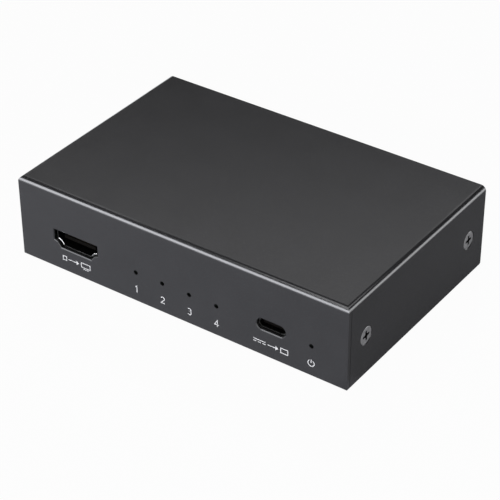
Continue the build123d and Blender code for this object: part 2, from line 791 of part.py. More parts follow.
def board_nodes():
    pad = along_z(Rectangle(CHIP_WIDTH - 2 * CHIP_BEVEL, CHIP_WIDTH - 2 * CHIP_BEVEL),
                  CHIP_HEIGHT, CHIP_HEIGHT + PAD_THICKNESS)
    return {
        "main_board": make_board(),
        "splitter_chip": on_board(
            chip_body(CHIP_WIDTH, CHIP_WIDTH, CHIP_HEIGHT), SPLITTER_PLACE_SHARES
        ),
        "thermal_pad": on_board(pad, SPLITTER_PLACE_SHARES),
        "heat_sink": on_board(make_heat_sink(), SPLITTER_PLACE_SHARES),
        "controller_chip": on_board(
            chip_body(CONTROLLER_WIDTH, CONTROLLER_WIDTH, CHIP_HEIGHT), CONTROLLER_PLACE_SHARES
        ),
        "memory_chip": on_board(
            chip_body(MEMORY_WIDTH, MEMORY_LENGTH, CHIP_HEIGHT), MEMORY_PLACE_SHARES
        ),
        "clock_crystal": on_board(make_crystal(), CRYSTAL_PLACE_SHARES),
        "capacitor_can": on_board(make_capacitor_can(), CAN_PLACE_SHARES),
        "capacitor_base": on_board(make_capacitor_base(), CAN_PLACE_SHARES),
        "power_coils": group(on_board(make_power_coil(), place) for place in COIL_PLACE_SHARES),
        "regulators": group(on_board(make_regulator(), place) for place in REGULATOR_PLACE_SHARES),
        "surge_guards": group(make_surge_guards()),
    }


nodes = {**housing_nodes(), **socket_nodes(), **lamp_nodes(), **board_nodes()}
os.makedirs("parts", exist_ok=True)
for name, shape in nodes.items():
    export_step(Pos(0, 0, FOOT_HEIGHT) * shape, f"parts/{name}.step")
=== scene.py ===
import math
from collections import namedtuple

import bmesh
import bpy
from mathutils import Matrix, Vector


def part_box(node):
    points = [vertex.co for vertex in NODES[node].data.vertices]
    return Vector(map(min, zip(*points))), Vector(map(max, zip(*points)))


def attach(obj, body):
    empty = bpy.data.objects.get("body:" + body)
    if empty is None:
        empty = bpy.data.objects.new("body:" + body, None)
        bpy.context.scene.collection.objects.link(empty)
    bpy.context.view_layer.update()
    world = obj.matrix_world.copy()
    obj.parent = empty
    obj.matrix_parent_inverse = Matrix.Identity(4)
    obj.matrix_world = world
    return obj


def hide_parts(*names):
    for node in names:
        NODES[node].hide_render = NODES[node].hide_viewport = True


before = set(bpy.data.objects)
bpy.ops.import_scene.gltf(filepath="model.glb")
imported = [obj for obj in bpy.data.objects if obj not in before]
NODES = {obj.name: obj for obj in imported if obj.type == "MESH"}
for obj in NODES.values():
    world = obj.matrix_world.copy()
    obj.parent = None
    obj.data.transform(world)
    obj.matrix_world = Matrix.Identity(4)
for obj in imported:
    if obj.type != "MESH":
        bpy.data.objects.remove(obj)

# A small dark grey metal box that sends one video signal on to four screens.
# Metres. X runs along the front from left to right, Y from front to back, Z up.

bpy.context.view_layer.update()


def millimetres(value):
    return value / 1000


def grey(value):
    return value, value, value


# The numbers of the four outputs
OUTPUTS = range(1, 5)

# Sizes of the housing, read from the frame
COVER_LOW, COVER_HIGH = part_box("cover")
WIDTH = COVER_HIGH.x - COVER_LOW.x
CENTRE = (COVER_LOW + COVER_HIGH) / 2
FRONT = COVER_LOW.y
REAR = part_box("base")[1].y

# Camera, fitted to the corners of the box in the photo. Angles in degrees, offsets in widths of the box
IMAGE_SIDE_PIXELS = 500
FOCAL_PIXELS = 1856.16
CAMERA_AZIMUTH = 35.3866
CAMERA_ELEVATION = 34.6548
CAMERA_ROLL = -0.2942
CAMERA_ACROSS_SHARE = -0.00266
CAMERA_UP_SHARE = -0.07695
CAMERA_DISTANCE_SHARE = 4.75574
SENSOR = 36.0
CLIP_NEAR = 0.01
CLIP_FAR = 20

# Lamps. All four angles are in degrees, as the box sees the lamp
Lamp = namedtuple("Lamp", "azimuth elevation wide high radiance colour")
LAMP_DISTANCE = 1.5
COLD_WHITE = (0.97, 0.98, 1.04)
COOL_WHITE = (0.98, 0.99, 1.02)
PLAIN_WHITE = (1.0, 1.0, 1.02)
LAMPS = {
    "key": Lamp(-33, 17, 34, 31, 3.25, COLD_WHITE),
    "fill": Lamp(10, 17, 46, 28, 1.42, COLD_WHITE),
    "high": Lamp(14, 60, 54, 36, 3.4, PLAIN_WHITE),
    "ceiling": Lamp(0, 90, 24, 24, 1.0, PLAIN_WHITE),
    "left": Lamp(-110, 9, 40, 20, 1.2, COOL_WHITE),
    "right": Lamp(67, 10, 62, 22, 1.2, COOL_WHITE),
    "back": Lamp(183, 9, 40, 18, 1.0, COOL_WHITE),
    "rim": Lamp(137, 9, 44, 19, 1.42, COOL_WHITE),
    "panel": Lamp(-147, 40.5, 42, 14, 1.27, PLAIN_WHITE),
}

# The space around the box. Reflections see a bright horizon, which fades between two angles in degrees
WORLD_WHITE = (1, 1, 1, 1)
WORLD_STRENGTH = 0.025
HORIZON_GLOW = 0.65
HORIZON_START = 4
HORIZON_END = 22

# The floor. Reflections see it bright on the left and, through painted shade, dark on the right, across a
# line through the box
FLOOR_SIZE = 8
FLOOR_TINT = (0.27, 0.27, 0.275)
FLOOR_ROUGHNESS = 0.14
FLOOR_CAMERA_SHARE = 0.97
FLOOR_GLOW = (0.545, 0.555, 0.61)
# The floor's glow on the right, darkened as painted shade
FLOOR_GLOW_PAINTED_SHADE = (0.085, 0.085, 0.09)
FLOOR_TURN = -45
FLOOR_TURN_START = millimetres(6)
FLOOR_TURN_END = millimetres(22)

# The coat's gloss, which is full where no part of the normal is above BEND_FULL, and weaker below the top
BEND_FULL = 0.94
BEND_RISE_START = 0.1
BEND_RISE_END = 0.35
BEND_PLACE_START = COVER_HIGH.z - millimetres(3)
BEND_PLACE_END = COVER_HIGH.z - millimetres(2)
RIM_SHARE = 0.21
BEND_IOR = 2.0
BEND_ROUGHNESS = 0.2

# Where the coat gets painted shade, on the cut walls of the holes: behind the front face, but in from the
# top and the sides
HOLE_START = FRONT + millimetres(0.2)
HOLE_FULL = FRONT + millimetres(0.3)
HOLE_FADE = FRONT + millimetres(1.6)
HOLE_END = FRONT + millimetres(1.8)
HOLE_HIGH = COVER_HIGH.z - millimetres(8)
HOLE_HIGH_END = COVER_HIGH.z - millimetres(4)
HOLE_SIDE = COVER_HIGH.x - millimetres(4)
HOLE_SIDE_END = COVER_HIGH.x - millimetres(2)

# Colours. A pair is what a material varies between
COAT_TINT = (0.0152, 0.0152, 0.0162)
# Near black for the cut walls of the front's holes: painted shade
HOLE_PAINTED_SHADE = grey(0.003)
# Nickel of the socket shells, far darker than plated nickel as painted shade, with real cloudy stains
NICKEL_PAINTED_SHADE = ((0.13, 0.13, 0.125), (0.08, 0.08, 0.078))
# Nickel of the video lips, lighter than plated nickel as a painted highlight over their real reflection of
# the lamps
NICKEL_PAINTED_HIGHLIGHT = ((0.93, 0.93, 0.91), (0.8, 0.8, 0.78))
SCREW_NICKEL = (grey(0.56), grey(0.4))
GILT = ((0.83, 0.6, 0.24), (0.7, 0.47, 0.17))
TIN = ((0.55, 0.55, 0.54), (0.42, 0.42, 0.41))
BRASS = ((0.72, 0.52, 0.22), (0.5, 0.34, 0.13))
ZINC = ((0.55, 0.55, 0.53), (0.4, 0.4, 0.38))
CRYSTAL_STEEL = ((0.52, 0.51, 0.49), (0.42, 0.41, 0.4))
ALUMINIUM = ((0.62, 0.62, 0.63), (0.5, 0.5, 0.51))
ANODISED_BLACK = ((0.018, 0.018, 0.019), (0.034, 0.034, 0.036))
SOCKET_BLACK = (0.005, 0.0042, 0.0034)
HOLDER_BLACK = grey(0.012)
CAPACITOR_BLACK = grey(0.015)
# Near black for the cross recesses of the screws: painted shade
RECESS_PAINTED_SHADE = grey(0.004)
FERRITE = (0.03, 0.029, 0.028)
RUBBER_DUST = (grey(0.014), (0.045, 0.043, 0.04))
MASK_GREEN = ((0.006, 0.03, 0.014), (0.009, 0.04, 0.019))
TRACK_GREEN = (0.014, 0.068, 0.03)
EPOXY = ((0.016, 0.016, 0.017), (0.024, 0.024, 0.025))
PAD_GREY = ((0.2, 0.22, 0.25), (0.27, 0.29, 0.31))
LAMP_GREEN = ((0.24, 0.34, 0.25), (0.33, 0.44, 0.34))
INK_WHITE = (grey(0.9), grey(0.96))

# The values that a noise mostly has, as the ends of what a material varies over
NOISE_RANGE = (0.3, 0.7)
FLOW_RANGE = (0.35, 0.65)
STAIN_RANGE = (0.35, 0.7)
DUST_RANGE = (0.45, 0.8)
SPECKLE_RANGE = (0.1, 0.7)

# Edges: the cut metal is very slightly rounded
HOUSING_EDGE = millimetres(0.20)
SHELL_EDGE = millimetres(0.08)
VIDEO_SHELL_EDGE = millimetres(0.04)
RUBBER_EDGE = millimetres(0.25)
SCREW_EDGE = millimetres(0.04)
WELD_DISTANCE = millimetres(0.002)
EDGE_ANGLE = 50
SCREW_EDGE_ANGLE = 35
PRINT_EDGE_ANGLE = 30
FLAT_FACE_WEIGHT = 100

# Lips of the video sockets. Points are across and down from the middle, a lip's width under the shell's top
LIP_WIDTH = millimetres(0.12)
LIP_RISE = millimetres(0.08)
LIP_POINTS = [
    (millimetres(across), millimetres(drop))
    for across, drop in ((6.85, 2.87), (5.85, 3.25), (4.95, 4.36))
]

# Cover screws. A corner is the signs of its X and Y, and its recess is turned by this many degrees
SCREW_STEPS = 64
SCREW_DOME = millimetres(0.04)
SCREW_CROWN_SHARES = (0, 0.25, 0.5, 0.72, 0.86)
SCREW_RIM = [
    (share, millimetres(drop))
    for share, drop in ((0.93, 0.02), (0.98, 0.07), (1, 0.14), (1, 0.2))
]
SCREW_TIP_SHARE = 0.7
SCREW_TURNS = {(1, -1): 5, (1, 1): 1, (-1, -1): 31, (-1, 1): -14}
SHANK_RADIUS = millimetres(1.5)
THREAD_DEPTH = millimetres(0.18)
THREAD_PITCH = millimetres(0.5)
RECESS_ARM = millimetres(1.5)
RECESS_ARM_LOW = millimetres(1.25)
RECESS_WIDTH = millimetres(0.74)
RECESS_WIDTH_LOW = millimetres(0.62)
RECESS_WAIST = millimetres(0.8)
RECESS_WAIST_LOW = millimetres(0.4)
RECESS_DEPTH = millimetres(1.4)
CUTTER_ABOVE = RECESS_DEPTH / 3

# White screen print. Each label has its own middle, and its marks run from one end to another
INK_THICK = millimetres(0.012)
INK_SUNK = millimetres(0.010)
NUMBER_HIGH = millimetres(2.27)
NUMBER_LOW = millimetres(4.36)
NUMBER_STROKE = millimetres(0.27)
LABEL_HIGH = millimetres(2.2)
LABEL_LOW = millimetres(4.4)
STROKE = millimetres(0.24)
MITRE_LIMIT = 0.5
ARROW_HEAD = millimetres(0.95)
ARROW_HEAD_SHARE = 0.75
VIDEO_SOCKET_ENDS = (millimetres(-5), millimetres(-3.5))
VIDEO_SOCKET_HEIGHTS = (LABEL_HIGH * 0.25, LABEL_HIGH * 0.95)
VIDEO_ARROW_ENDS = (millimetres(-2.9), millimetres(0.9))
VIDEO_ARROW_MIDDLE = LABEL_HIGH * 0.6
SCREEN_ENDS = (millimetres(1.6), millimetres(5))
SCREEN_LOW = millimetres(0.5)
SCREEN_FOOT_ENDS = (millimetres(2.4), millimetres(4.2))
SCREEN_FOOT_HIGH = STROKE * 0.8
SUPPLY_ENDS = (millimetres(-5.6), millimetres(-1.6))
SUPPLY_BAR_LOW = LABEL_HIGH * 0.62
SUPPLY_DASH_LOW = LABEL_HIGH * 0.3
SUPPLY_DASH = millimetres(1)
SUPPLY_DASH_STEP = millimetres(1.5)
SUPPLY_DASH_COUNT = 3
SUPPLY_ARROW_ENDS = (millimetres(-0.9), millimetres(2.5))
SUPPLY_ARROW_MIDDLE = LABEL_HIGH * 0.5
SUPPLY_SOCKET_ENDS = (millimetres(3.1), millimetres(5.6))
SUPPLY_SOCKET_HEIGHTS = (LABEL_HIGH * 0.1, LABEL_HIGH * 0.9)
POWER_RING_ANGLES = (120, 420)
POWER_LINE_HEIGHTS = (LABEL_HIGH * 0.52, LABEL_HIGH * 1.04)
NUMBER_ARC_STEPS = 14
RING_STEPS = 24


# Node trees

class Nodes:
    """A node tree, with short names for what the materials and the world have in common."""

    def __init__(self, tree):
        self.tree = tree

    def node(self, kind, **settings):
        made = self.tree.nodes.new(kind)
        for key, value in settings.items():
            setattr(made, key, value)
        return made

    def link(self, start, end):
        self.tree.links.new(start, end)

    def put(self, value, socket):
        """Link an output to this socket, or give the socket a plain value."""
        if isinstance(value, bpy.types.NodeSocket):
            self.link(value, socket)
        else:
            socket.default_value = value

    def combine(self, operation, first, second):
        """One number worked out from two."""
        made = self.node("ShaderNodeMath", operation=operation)
        self.put(first, made.inputs[0])
        self.put(second, made.inputs[1])
        return made.outputs["Value"]

    def without_sign(self, vector):
        """A vector with its three numbers made positive."""
        made = self.node("ShaderNodeVectorMath", operation="ABSOLUTE")
        self.link(vector, made.inputs[0])
        return made.outputs["Vector"]

    def along(self, axis, vector):
        """One of the three numbers of a vector."""
        made = self.node("ShaderNodeSeparateXYZ")
        self.link(vector, made.inputs["Vector"])
        return made.outputs[axis]

    def span(self, value, low, high, start=0.0, end=1.0, curve="LINEAR"):
        """A number moved from one range to another."""
        made = self.node("ShaderNodeMapRange", interpolation_type=curve)
        made.inputs["From Min"].default_value = low
        made.inputs["From Max"].default_value = high
        made.inputs["To Min"].default_value = start
        made.inputs["To Max"].default_value = end
        self.link(value, made.inputs["Value"])
        return made.outputs["Result"]

    def mix(self, factor, low, high):
        """A colour between two others."""
        made = self.node("ShaderNodeMix", data_type="RGBA")
        self.link(factor, made.inputs["Factor"])
        ends = [socket for socket in made.inputs if socket.type == "RGBA"]
        for value, socket in zip((low, high), ends):
            self.put((*value, 1) if isinstance(value, tuple) else value, socket)
        return next(socket for socket in made.outputs if socket.type == "RGBA")

    def rays(self):
        """Two numbers: one where the camera looks straight here, one where a reflection or glass does."""
        path = self.node("ShaderNodeLightPath").outputs
        mirrored = self.combine("MAXIMUM", path["Is Glossy Ray"], path["Is Transmission Ray"])
        return path["Is Camera Ray"], mirrored


class Shader(Nodes):
    """A material's node tree around its one surface."""

    def __init__(self, name):
        self.material = bpy.data.materials.new(name)
        self.material.use_nodes = True
        super().__init__(self.material.node_tree)
        self.surface = self.tree.nodes["Principled BSDF"]
        coordinates = self.node("ShaderNodeTexCoord")
        self.place = coordinates.outputs["Object"]
        self.normal = coordinates.outputs["Normal"]

    def set(self, **values):
        """Constants on the surface's own sockets."""
        for key, value in values.items():
            self.surface.inputs[key.replace("_", " ")].default_value = value

    def to(self, value, socket):
        """Link an output to one of the surface's sockets."""
        self.link(value, self.surface.inputs[socket])

    def scaled(self, stretch):
        """The place on the piece, times one number for each axis."""
        made = self.node("ShaderNodeMapping")
        made.inputs["Scale"].default_value = stretch
        self.link(self.place, made.inputs["Vector"])
        return made.outputs["Vector"]

    def noise(self, size, detail=2.0, roughness=0.5, stretch=(1, 1, 1)):
        """Noise with features of about this size, in metres."""
        made = self.node("ShaderNodeTexNoise")
        made.inputs["Scale"].default_value = 1 / size
        made.inputs["Detail"].default_value = detail
        made.inputs["Roughness"].default_value = roughness
        self.link(self.scaled(stretch), made.inputs["Vector"])
        return made.outputs["Fac"]

    def cells(self, size):
        """Distance to the nearest of many points, which lie about this far apart."""
        made = self.node("ShaderNodeTexVoronoi", feature="F1")
        made.inputs["Scale"].default_value = 1 / size
        self.link(self.place, made.inputs["Vector"])
        return made.outputs["Distance"]

    def bump(self, height, distance, strength=1.0, under=None):
        """A normal that follows this height, which is worth a distance in metres where it is one."""
        made = self.node("ShaderNodeBump")
        made.inputs["Distance"].default_value = distance
        made.inputs["Strength"].default_value = strength
        self.link(height, made.inputs["Height"])
        if under is not None:
            self.link(under, made.inputs["Normal"])
        return made.outputs["Normal"]

    def bends(self):
        """One where the metal turns over its upper bends, less on rims that face up, zero on flat faces."""
        facing = self.without_sign(self.normal)
        most = self.combine("MAXIMUM", self.along("X", facing), self.along("Y", facing))
        most = self.combine("MAXIMUM", most, self.along("Z", facing))
        turned = self.span(most, 1.0, BEND_FULL)
        upward = self.span(self.along("Z", self.normal), BEND_RISE_START, BEND_RISE_END)
        high = self.span(self.along("Z", self.place), BEND_PLACE_START, BEND_PLACE_END, RIM_SHARE, 1.0)
        return self.combine("MULTIPLY", self.combine("MULTIPLY", turned, upward), high)

    def painted_hole_shade(self):
        """The share of painted shade: one on the cut walls of the front's holes, where little light gets in,
        and zero elsewhere.
        """
        depth = self.along("Y", self.place)
        share = self.span(depth, HOLE_START, HOLE_FULL)
        for value, low, high in (
            (depth, HOLE_FADE, HOLE_END),
            (self.along("Z", self.place), HOLE_HIGH, HOLE_HIGH_END),
            (self.along("X", self.without_sign(self.place)), HOLE_SIDE, HOLE_SIDE_END),
        ):
            share = self.combine("MULTIPLY", share, self.span(value, low, high, 1.0, 0.0))
        return share


# Materials

def around(colour, share):
    """Two colours, this share darker and lighter than one."""
    return tuple(value * (1 - share) for value in colour), tuple(value * (1 + share) for value in colour)


def powder_coat(name, tint, rough=(0.2, 0.28)):
    """A satin powder coat with a fine orange peel, glossier along the bends, with painted shade on the cut
    walls of the holes.
    """
    coat = Shader(name)
    mottle = coat.noise(millimetres(9), detail=3)
    fine = coat.noise(millimetres(0.16), detail=2, roughness=0.6)
    peel = coat.noise(millimetres(0.7), detail=2)
    face = coat.mix(coat.span(mottle, *FLOW_RANGE), *around(tint, share=0.12))
    # Painted shade darkens the coat on the cut walls of the holes
    coat.to(coat.mix(coat.painted_hole_shade(), face, HOLE_PAINTED_SHADE), "Base Color")
    coat.to(coat.span(fine, *NOISE_RANGE, *rough), "Roughness")
    coat.to(coat.bends(), "Coat Weight")
    coat.set(Metallic=0.0, IOR=1.5, Coat_IOR=BEND_IOR, Coat_Roughness=BEND_ROUGHNESS)
    under = coat.bump(peel, millimetres(0.004))
    coat.to(coat.bump(fine, millimetres(0.0035), under=under), "Normal")
    return coat.material


def plated_metal(name, tint, stain, rough=(0.2, 0.36), grain=(1, 1, 1)):
    """Plated or bare metal with cloudy stains and fine drawing marks."""
    metal = Shader(name)
    cloud = metal.noise(millimetres(2.2), detail=4, roughness=0.6)
    marks = metal.noise(millimetres(0.25), detail=3, stretch=grain)
    metal.to(metal.mix(metal.span(cloud, *STAIN_RANGE), tint, stain), "Base Color")
    metal.to(metal.span(marks, *NOISE_RANGE, *rough), "Roughness")
    metal.set(Metallic=1.0)
    metal.to(metal.bump(marks, millimetres(0.003)), "Normal")
    return metal.material


def moulded_plastic(name, tint, rough=(0.34, 0.5), size=0.2, shine=0.5):
    """Moulded plastic with a fine spark-eroded grain, of this size in millimetres."""
    plastic = Shader(name)
    grain = plastic.noise(millimetres(size), detail=3, roughness=0.6)
    flow = plastic.noise(millimetres(3.5), detail=3)
    plastic.to(plastic.mix(plastic.span(flow, *FLOW_RANGE), *around(tint, share=0.18)), "Base Color")
    plastic.to(plastic.span(grain, *NOISE_RANGE, *rough), "Roughness")
    plastic.set(IOR=1.5, Specular_IOR_Level=shine)
    plastic.to(plastic.bump(grain, millimetres(0.006)), "Normal")
    return plastic.material


def rubber(name, rough=(0.62, 0.8)):
    """Soft black rubber: matt, faintly mottled, with pores and dust."""
    gum = Shader(name)
    pores = gum.cells(millimetres(0.3))
    dust = gum.noise(millimetres(1.4), detail=5, roughness=0.7)
    gum.to(gum.mix(gum.span(dust, *DUST_RANGE), *RUBBER_DUST), "Base Color")
    gum.to(gum.span(dust, *NOISE_RANGE, *rough), "Roughness")
    gum.to(gum.bump(pores, millimetres(0.01)), "Normal")
    return gum.material


def solder_mask(name, rough=(0.28, 0.42)):
    """Green solder mask over copper tracks, which show as paler, slightly raised lines."""
    board = Shader(name)
    tracks = board.node("ShaderNodeTexBrick", offset=0.35, squash=1.6)
    tracks.inputs["Scale"].default_value = 1 / millimetres(9)
    tracks.inputs["Mortar Size"].default_value = 0.035
    tracks.inputs["Mortar Smooth"].default_value = 0.3
    board.link(board.place, tracks.inputs["Vector"])
    copper = tracks.outputs["Fac"]
    weave = board.noise(millimetres(0.5), detail=2, stretch=(1, 3, 1))
    shade = board.mix(board.span(weave, *NOISE_RANGE), *MASK_GREEN)
    board.to(board.mix(copper, shade, TRACK_GREEN), "Base Color")
    board.to(board.span(weave, *NOISE_RANGE, *rough), "Roughness")
    board.to(board.bump(copper, millimetres(0.03), strength=0.6), "Normal")
    return board.material


def chip_epoxy(name, rough=(0.48, 0.66)):
    """Dark moulded epoxy with a sandy face."""
    epoxy = Shader(name)
    sand = epoxy.noise(millimetres(0.12), detail=4, roughness=0.7)
    flow = epoxy.noise(millimetres(2.5), detail=3)
    epoxy.to(epoxy.mix(epoxy.span(flow, *NOISE_RANGE), *EPOXY), "Base Color")
    epoxy.to(epoxy.span(sand, *NOISE_RANGE, *rough), "Roughness")
    epoxy.to(epoxy.bump(sand, millimetres(0.01)), "Normal")
    return epoxy.material


def anodised(name, rough=(0.34, 0.5)):
    """Black anodised aluminium with extrusion lines along the fins."""
    metal = Shader(name)
    lines = metal.noise(millimetres(0.22), detail=3, stretch=(1, 0.03, 1))
    metal.to(metal.mix(metal.span(lines, *NOISE_RANGE), *ANODISED_BLACK), "Base Color")
    metal.to(metal.span(lines, *NOISE_RANGE, *rough), "Roughness")
    metal.set(Metallic=0.35)
    metal.to(metal.bump(lines, millimetres(0.008)), "Normal")
    return metal.material


def silicone(name, rough=(0.55, 0.7)):
    """Grey silicone pad, with the print of its release film."""
    pad = Shader(name)
    speckle = pad.cells(millimetres(0.4))
    pad.to(pad.mix(pad.span(speckle, *SPECKLE_RANGE), *PAD_GREY), "Base Color")
    pad.to(pad.span(speckle, *SPECKLE_RANGE, *rough), "Roughness")
    pad.to(pad.bump(speckle, millimetres(0.01)), "Normal")
    return pad.material


def lamp_resin(name, rough=(0.12, 0.24)):
    """Milky green lamp resin, with a fine haze."""
    resin = Shader(name)
    haze = resin.noise(millimetres(0.5), detail=3)
    resin.to(resin.mix(resin.span(haze, *NOISE_RANGE), *LAMP_GREEN), "Base Color")
    resin.to(resin.span(haze, *NOISE_RANGE, *rough), "Roughness")
    resin.set(IOR=1.54)
    resin.to(resin.bump(haze, millimetres(0.004)), "Normal")
    return resin.material


def screen_print(name, rough=(0.45, 0.6)):
    """Thin white ink, a little uneven from the mesh of the screen."""
    ink = Shader(name)
    mesh = ink.noise(millimetres(0.12), detail=2)
    ink.to(ink.mix(ink.span(mesh, *NOISE_RANGE), *INK_WHITE), "Base Color")
    ink.to(ink.span(mesh, *NOISE_RANGE, *rough), "Roughness")
    ink.to(ink.bump(mesh, millimetres(0.002)), "Normal")
    return ink.material


# The CAD nodes

def named(*endings):
    """The nodes whose names end in one of these words."""
    return [node for node in NODES if node.endswith(endings)]


def dress(material, *nodes):
    """Give these nodes this material in every slot."""
    for node in nodes:
        for slot in NODES[node].material_slots:
            slot.material = material


def dress_housing():
    dress(powder_coat("cover_coat", COAT_TINT), "cover")
    dress(powder_coat("base_coat", COAT_TINT), "base")
    dress(rubber("foot_rubber"), "feet")


def dress_sockets():
    # Socket shells in nickel darkened as painted shade
    dress(plated_metal("nickel_shell_painted_shade", *NICKEL_PAINTED_SHADE), *named("_shell"))
    dress(moulded_plastic("socket_black", SOCKET_BLACK, rough=(0.5, 0.7), shine=0.05), *named("_blade"))
    dress(plated_metal("contact_gilt", *GILT, rough=(0.16, 0.28)), *named("_contacts"))


def dress_lamps():
    dress(lamp_resin("lamp_resin"), "power_lamp", *[f"lamp_{number}" for number in OUTPUTS])
    dress(moulded_plastic("holder_black", HOLDER_BLACK), *named("_holder"))
    dress(plated_metal("tinned_wire", *TIN), "lamp_leads")


def dress_board():
    dress(solder_mask("board_mask"), "main_board")
    dress(plated_metal("post_brass", *BRASS), "board_posts")
    dress(plated_metal("board_screw_zinc", *ZINC), "board_screws")
    chips = ("splitter_chip", "controller_chip", "memory_chip", "regulators", "surge_guards")
    dress(chip_epoxy("chip_epoxy"), *chips)
    dress(silicone("pad_silicone"), "thermal_pad")
    dress(anodised("sink_anodised"), "heat_sink")
    dress(plated_metal("crystal_steel", *CRYSTAL_STEEL), "clock_crystal")
    dress(plated_metal("can_aluminium", *ALUMINIUM, grain=(1, 1, 0.05)), "capacitor_can")
    dress(moulded_plastic("capacitor_black", CAPACITOR_BLACK), "capacitor_base")
    dress(moulded_plastic("coil_ferrite", FERRITE, rough=(0.5, 0.7), size=0.35), "power_coils")


def bevel_edges(piece, width, angle, segments=2):
    """Bevel the edges that are sharper than this angle, in degrees, by a modifier."""
    bevel = piece.modifiers.new("edge", "BEVEL")
    bevel.width = width
    bevel.segments = segments
    bevel.limit_method = "ANGLE"
    bevel.angle_limit = math.radians(angle)


def round_edges(node, width, segments=2):
    """Round a node's sharp edges by modifiers, and keep its flat faces flat."""
    piece = NODES[node]
    weld = piece.modifiers.new("weld", "WELD")
    weld.merge_threshold = WELD_DISTANCE
    bevel_edges(piece, width, EDGE_ANGLE, segments)
    shade = piece.modifiers.new("shade", "WEIGHTED_NORMAL")
    shade.keep_sharp = True
    shade.weight = FLAT_FACE_WEIGHT


def round_nodes():
    round_edges("cover", HOUSING_EDGE)
    round_edges("base", HOUSING_EDGE)
    round_edges("power_in_shell", SHELL_EDGE)
    for node in video_shells():
        round_edges(node, VIDEO_SHELL_EDGE)
    round_edges("feet", RUBBER_EDGE, segments=3)


def video_shells():
    return [node for node in named("_shell") if node.startswith("video")]


# Meshes

def object_from(data, name):
    made = bpy.data.objects.new(name, data)
    bpy.context.scene.collection.objects.link(made)
    return made


def mesh_from(work, name, materials=()):
    """A mesh with what this bmesh holds. The bmesh is freed."""
    mesh = bpy.data.meshes.new(name)
    work.to_mesh(mesh)
    work.free()
    for material in materials:
        mesh.materials.append(material)
    return mesh


def mesh_of(thing):
    """The mesh that a curve or an object with modifiers gives. The object is removed."""
    bpy.context.view_layer.update()
    mesh = bpy.data.meshes.new_from_object(thing.evaluated_get(bpy.context.evaluated_depsgraph_get()))
    bpy.data.objects.remove(thing)
    return mesh


def piece_from(mesh, name):
    """A finished piece that goes with the box."""
    piece = object_from(mesh, name)
    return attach(piece, "root")


def shade_by_angle(mesh, angle):
    """Smooth shading, with edges sharper than this many degrees kept sharp."""
    work = bmesh.new()
    work.from_mesh(mesh)
    for face in work.faces:
        face.smooth = True
    for edge in work.edges:
        edge.smooth = len(edge.link_faces) == 2 and edge.calc_face_angle() < math.radians(angle)
    work.to_mesh(mesh)
    work.free()


def skin(work, low, high):
    """Faces between two rings of corners. Either ring can be a single corner."""
    count = max(len(low), len(high))
    for step in range(count):
        after = (step + 1) % count
        around_face = [
            low[step % len(low)],
            low[after % len(low)],
            high[after % len(high)],
            high[step % len(high)],
        ]
        work.faces.new(list(dict.fromkeys(around_face)))


def directions(points):
    """Each point, with the direction of the stretch before it and of the one after it."""
    places = [Vector(point) for point in points]
    ways = [(after - before).normalized() for before, after in zip(places, places[1:])]
    return zip(places, ways[:1] + ways, ways + ways[-1:])


# Cover screws

def lathe(work, profile, place, out):
    """Turn (radius, distance out) points about an axis. The first and last points lie on the axis."""
    side = out.orthogonal().normalized()
    rise = out.cross(side).normalized()
    rings = []
    for radius, distance in profile:
        middle = place + out * distance
        angles = [math.tau * step / SCREW_STEPS for step in range(SCREW_STEPS if radius else 1)]
        rings.append([
            work.verts.new(middle + radius * (side * math.cos(angle) + rise * math.sin(angle)))
            for angle in angles
        ])
    for low, high in zip(rings, rings[1:]):
        skin(work, low, high)


def cross_outline(arm, width, waist):
    """The outline of a cross recess, with the inner corners cut back to the waist."""
    half = width / 2
    inner = (waist + half) / 2
    one_arm = [Vector(point) for point in ((arm, -half), (arm, half), (inner, half), (half, inner))]
    points = []
    for quarter in range(4):
        turn = Matrix.Rotation(math.radians(90 * quarter), 2)
        points += [turn @ point for point in one_arm]
    return points


def cross_cutter(place, out, turn, materials):
    """A tapered cross that is cut from a screw's head, upright but for this turn in degrees."""
    side = Vector((0, out.x, 0))
    rise = out.cross(side)
    turned = Matrix.Rotation(math.radians(turn), 2)
    slope = 1 + CUTTER_ABOVE / RECESS_DEPTH
    above = (
        RECESS_ARM_LOW + (RECESS_ARM - RECESS_ARM_LOW) * slope,
        RECESS_WIDTH_LOW + (RECESS_WIDTH - RECESS_WIDTH_LOW) * slope,
        RECESS_WAIST * slope,
    )
    below = (RECESS_ARM_LOW, RECESS_WIDTH_LOW, RECESS_WAIST_LOW)
    work = bmesh.new()
    rings = []
    for sizes, distance in ((above, CUTTER_ABOVE), (below, -RECESS_DEPTH)):
        flat = [turned @ point for point in cross_outline(*sizes)]
        rings.append([
            work.verts.new(place + side * point.x + rise * point.y + out * distance)
            for point in flat
        ])
    top, bottom = rings
    tip = work.verts.new(place - out * (RECESS_DEPTH + RECESS_WIDTH_LOW / 2))
    work.faces.new(top)
    skin(work, top, bottom)
    skin(work, bottom, [tip])
    bmesh.ops.recalc_face_normals(work, faces=work.faces)
    for face in work.faces:
        # The cutter's faces become the recess walls, which take the second material, of painted shade
        face.material_index = 1
    return object_from(mesh_from(work, "recess", materials), "recess")


def screw_places():
    """Each cover screw's corner, its head's middle, its radius and its length, from the frame."""
    node = NODES["cover_screws"]
    corners = {}
    for vertex in node.data.vertices:
        place = node.matrix_world @ vertex.co
        corner = (1 if place.x > 0 else -1, 1 if place.y > 0 else -1)
        corners.setdefault(corner, []).append(place)
    for corner, places in sorted(corners.items()):
        low = Vector([min(place[axis] for place in places) for axis in range(3)])
        high = Vector([max(place[axis] for place in places) for axis in range(3)])
        middle = (low + high) / 2
        middle.x = high.x if corner[0] > 0 else low.x
        yield corner, middle, (high.z - low.z) / 2, high.x - low.x


